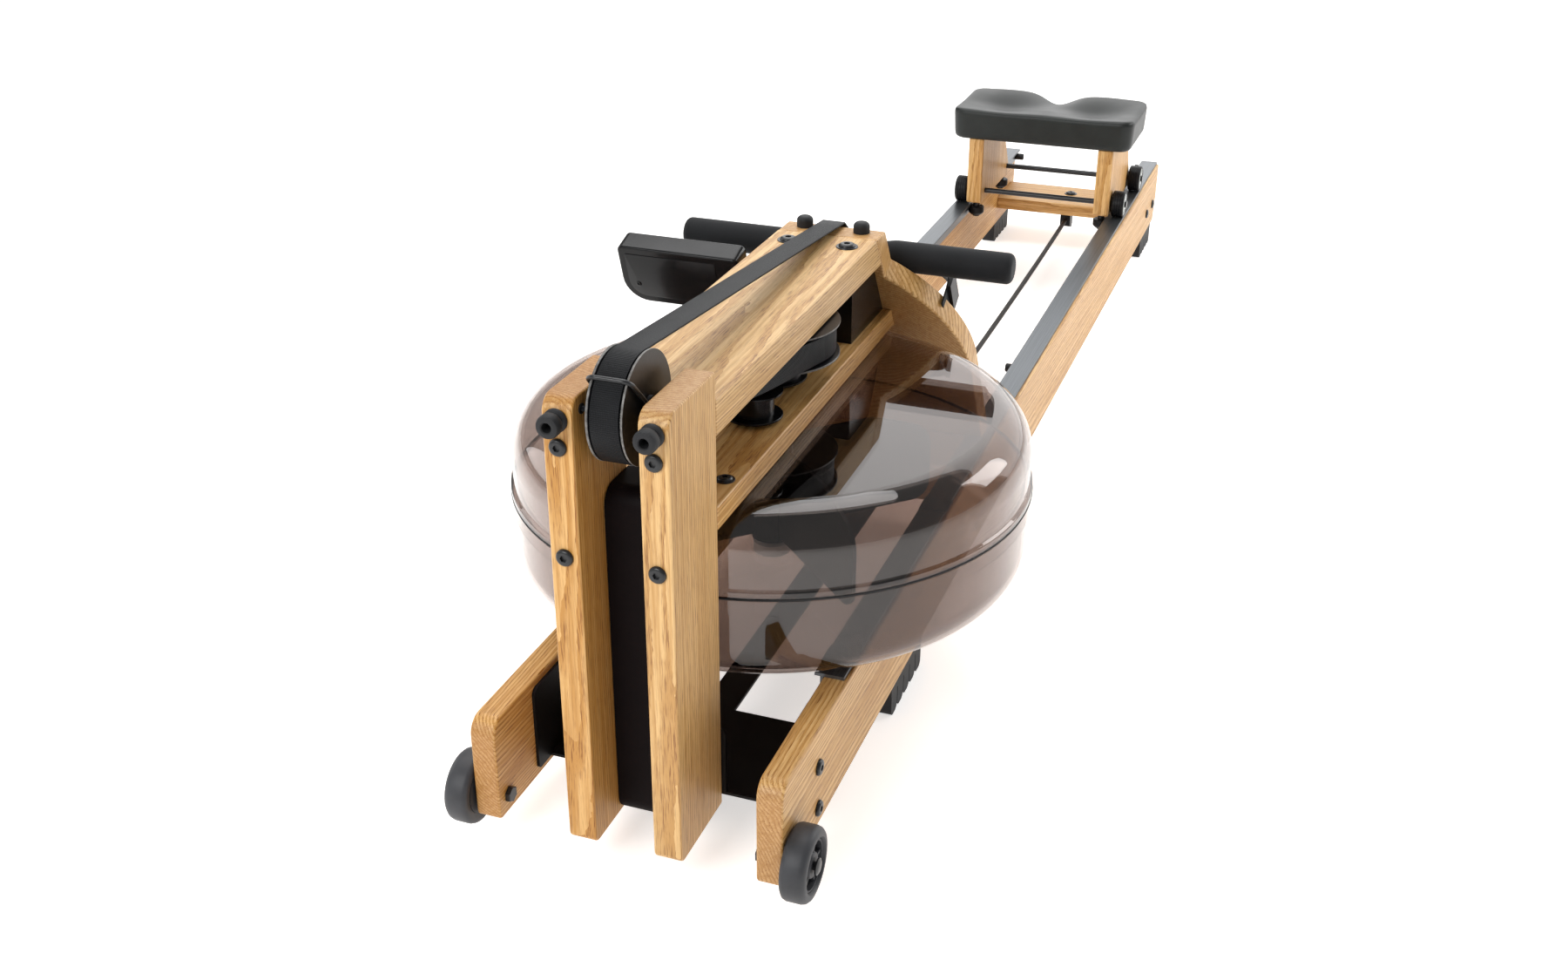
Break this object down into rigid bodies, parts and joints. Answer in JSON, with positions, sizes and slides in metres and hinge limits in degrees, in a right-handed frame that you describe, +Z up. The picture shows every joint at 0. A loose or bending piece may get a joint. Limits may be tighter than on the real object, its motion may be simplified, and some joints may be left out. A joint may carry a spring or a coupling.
{
  "type": "rowing machine",
  "caption": "Water rowing machine: wooden rails and posts, clear paddle tank, strap drive over a front sheave, rolling seat, footboard and tilting monitor.",
  "frame": {"origin": "on the floor, below the middle of the machine", "axes": "+X to the machine's right seen from the posts, +Y from the posts towards the seat, +Z up"},
  "size_m": [0.5431, 2.131, 0.509],
  "materials": {
    "oak": "oiled",
    "black_steel": "powder coated",
    "black_bolts": "black oxide",
    "axle_steel": "satin black",
    "anodised_track": "anodised",
    "black_plastic": "moulded",
    "smoked_polycarbonate": "clear, smoked",
    "rubber": "matte",
    "seat_foam": "moulded skin",
    "grip_foam": "foam",
    "handle_core": "satin",
    "webbing": "woven",
    "cord_sheath": "braided",
    "screen": "clear window",
    "roller_plastic": "moulded"
  },
  "bodies": {
    "frame": {"base_plate": "black_steel", "belt_hoop": "black_steel", "cord_hook": "black_steel", "feet": "rubber", "fill_plug": "black_plastic", "foot_straps": "webbing", "footboard": "oak", "frame_bolts": "black_bolts", "front_shroud": "black_plastic", "handle_pegs": "black_plastic", "left_post": "oak", "left_rail": "oak", "lower_deck": "oak", "mid_crosspiece": "oak", "monitor_arm": "black_steel", "pull_strap": "webbing", "pulley_axles": "axle_steel", "pulley_cover": "black_plastic", "rear_crosspiece": "oak", "recoil_strap": "webbing", "right_post": "oak", "right_rail": "oak", "rubber_buffers": "rubber", "seat_tracks": "anodised_track", "shaft_bearings": "black_plastic", "shock_cord": "cord_sheath", "strap_buckles": "black_plastic", "tank_lower_bowl": "smoked_polycarbonate", "tank_seal": "rubber", "tank_upper_bowl": "smoked_polycarbonate", "top_deck": "oak"},
    "paddle": {"paddle_shaft": "axle_steel", "paddle_blades": "black_plastic"},
    "drum": {"drum": "black_plastic"},
    "front_sheave": {"front_sheave": "black_plastic"},
    "guide_spool": {"guide_spool": "black_plastic"},
    "upper_idler": {"upper_idler": "black_plastic"},
    "lower_idler": {"lower_idler": "black_plastic"},
    "cord_clip": {"cord_clip": "black_plastic"},
    "handle": {"handle_bar": "handle_core", "handle_grips": "grip_foam"},
    "monitor": {"monitor_case": "black_plastic", "monitor_screen": "screen"},
    "left_button": {"monitor_button_left": "black_plastic"},
    "right_button": {"monitor_button_right": "black_plastic"},
    "left_heel_rest": {"left_heel_rest": "black_plastic"},
    "right_heel_rest": {"right_heel_rest": "black_plastic"},
    "seat": {"seat_cushion": "seat_foam", "seat_side_plates": "oak", "seat_axles": "axle_steel"},
    "left_wheel": {"left_wheel": "rubber"},
    "right_wheel": {"right_wheel": "rubber"},
    "seat_wheel_front_left": {"seat_wheel_front_left": "roller_plastic"},
    "seat_wheel_front_right": {"seat_wheel_front_right": "roller_plastic"},
    "seat_wheel_rear_left": {"seat_wheel_rear_left": "roller_plastic"},
    "seat_wheel_rear_right": {"seat_wheel_rear_right": "roller_plastic"},
    "guide_roller_front_left": {"guide_roller_front_left": "roller_plastic"},
    "guide_roller_front_right": {"guide_roller_front_right": "roller_plastic"},
    "guide_roller_rear_left": {"guide_roller_rear_left": "roller_plastic"},
    "guide_roller_rear_right": {"guide_roller_rear_right": "roller_plastic"}
  },
  "joints": [
    {"name": "handle_pull", "type": "slide", "parent": "frame", "child": "handle", "axis": [0, 1, 0], "range_m": [0, 1.1], "stiffness_N_per_m": 30, "springref_m": -0.3, "deforming": ["pull_strap"]},
    {"name": "sheave_spin", "type": "hinge", "parent": "frame", "child": "front_sheave", "pos_m": [0, -0.999, 0.46], "axis": [1, 0, 0], "continuous": true},
    {"name": "drum_spin", "type": "hinge", "parent": "frame", "child": "drum", "pos_m": [0, -0.6615, 0.4], "axis": [0, 0, 1], "continuous": true},
    {"name": "guide_spool_spin", "type": "hinge", "parent": "frame", "child": "guide_spool", "pos_m": [0.018, -0.7605, 0.3685], "axis": [0, 0, 1], "continuous": true},
    {"name": "upper_idler_spin", "type": "hinge", "parent": "frame", "child": "upper_idler", "pos_m": [0, -0.9745, 0.35345], "axis": [1, 0, 0], "continuous": true},
    {"name": "lower_idler_spin", "type": "hinge", "parent": "frame", "child": "lower_idler", "pos_m": [0, -0.9745, 0.055], "axis": [1, 0, 0], "continuous": true},
    {"name": "cord_clip_slide", "type": "slide", "parent": "frame", "child": "cord_clip", "axis": [0, 1, 0], "range_m": [-0.545, 0], "deforming": ["recoil_strap", "shock_cord"]},
    {"name": "paddle_spin", "type": "hinge", "parent": "frame", "child": "paddle", "pos_m": [0, -0.6615, 0.23], "axis": [0, 0, 1], "continuous": true},
    {"name": "seat_slide", "type": "slide", "parent": "frame", "child": "seat", "axis": [0, 1, 0], "range_m": [-0.688, 0.165]},
    {"name": "seat_wheel_front_left_spin", "type": "hinge", "parent": "seat", "child": "seat_wheel_front_left", "pos_m": [-0.138, 0.6885, 0.1695], "axis": [1, 0, 0], "continuous": true},
    {"name": "seat_wheel_front_right_spin", "type": "hinge", "parent": "seat", "child": "seat_wheel_front_right", "pos_m": [0.138, 0.6885, 0.1695], "axis": [1, 0, 0], "continuous": true},
    {"name": "seat_wheel_rear_left_spin", "type": "hinge", "parent": "seat", "child": "seat_wheel_rear_left", "pos_m": [-0.138, 0.8585, 0.1695], "axis": [1, 0, 0], "continuous": true},
    {"name": "seat_wheel_rear_right_spin", "type": "hinge", "parent": "seat", "child": "seat_wheel_rear_right", "pos_m": [0.138, 0.8585, 0.1695], "axis": [1, 0, 0], "continuous": true},
    {"name": "guide_roller_front_left_spin", "type": "hinge", "parent": "seat", "child": "guide_roller_front_left", "pos_m": [-0.1109, 0.6815, 0.135], "axis": [0, 0, 1], "continuous": true},
    {"name": "guide_roller_front_right_spin", "type": "hinge", "parent": "seat", "child": "guide_roller_front_right", "pos_m": [0.1109, 0.6815, 0.135], "axis": [0, 0, 1], "continuous": true},
    {"name": "guide_roller_rear_left_spin", "type": "hinge", "parent": "seat", "child": "guide_roller_rear_left", "pos_m": [-0.1109, 0.8655, 0.135], "axis": [0, 0, 1], "continuous": true},
    {"name": "guide_roller_rear_right_spin", "type": "hinge", "parent": "seat", "child": "guide_roller_rear_right", "pos_m": [0.1109, 0.8655, 0.135], "axis": [0, 0, 1], "continuous": true},
    {"name": "left_wheel_spin", "type": "hinge", "parent": "frame", "child": "left_wheel", "pos_m": [-0.166, -1.0287, 0.0555], "axis": [1, 0, 0], "continuous": true},
    {"name": "left_heel_rest_slide", "type": "slide", "parent": "frame", "child": "left_heel_rest", "axis": [0, -0.5446, 0.8387], "range_m": [0, 0.06]},
    {"name": "right_wheel_spin", "type": "hinge", "parent": "frame", "child": "right_wheel", "pos_m": [0.166, -1.0287, 0.0555], "axis": [1, 0, 0], "continuous": true},
    {"name": "right_heel_rest_slide", "type": "slide", "parent": "frame", "child": "right_heel_rest", "axis": [0, -0.5446, 0.8387], "range_m": [0, 0.06]},
    {"name": "monitor_tilt", "type": "hinge", "parent": "frame", "child": "monitor", "pos_m": [-0.17, -0.4865, 0.388], "axis": [1, 0, 0], "range_deg": [-15, 20]},
    {"name": "left_button_press", "type": "slide", "parent": "monitor", "child": "left_button", "axis": [0, 0.9511, 0.309], "range_m": [-0.0012, 0], "stiffness_N_per_m": 400, "springref_m": 0.0005},
    {"name": "right_button_press", "type": "slide", "parent": "monitor", "child": "right_button", "axis": [0, 0.9511, 0.309], "range_m": [-0.0012, 0], "stiffness_N_per_m": 400, "springref_m": 0.0005}
  ],
  "couplings": [
    {"joint": "sheave_spin", "follows": "handle_pull", "rad_per_m": -20.921},
    {"joint": "drum_spin", "follows": "handle_pull", "rad_per_m": -15.625},
    {"joint": "guide_spool_spin", "follows": "handle_pull", "rad_per_m": -23.048},
    {"joint": "upper_idler_spin", "follows": "handle_pull", "rad_per_m": -32.236},
    {"joint": "lower_idler_spin", "follows": "handle_pull", "rad_per_m": -32.236},
    {"joint": "cord_clip_slide", "follows": "handle_pull", "ratio": -0.48516},
    {"joint": "seat_wheel_front_left_spin", "follows": "seat_slide", "rad_per_m": -45.455},
    {"joint": "seat_wheel_front_right_spin", "follows": "seat_slide", "rad_per_m": -45.455},
    {"joint": "seat_wheel_rear_left_spin", "follows": "seat_slide", "rad_per_m": -45.455},
    {"joint": "seat_wheel_rear_right_spin", "follows": "seat_slide", "rad_per_m": -45.455},
    {"joint": "guide_roller_front_left_spin", "follows": "seat_slide", "rad_per_m": 74.074},
    {"joint": "guide_roller_front_right_spin", "follows": "seat_slide", "rad_per_m": -74.074},
    {"joint": "guide_roller_rear_left_spin", "follows": "seat_slide", "rad_per_m": 74.074},
    {"joint": "guide_roller_rear_right_spin", "follows": "seat_slide", "rad_per_m": -74.074}
  ]
}
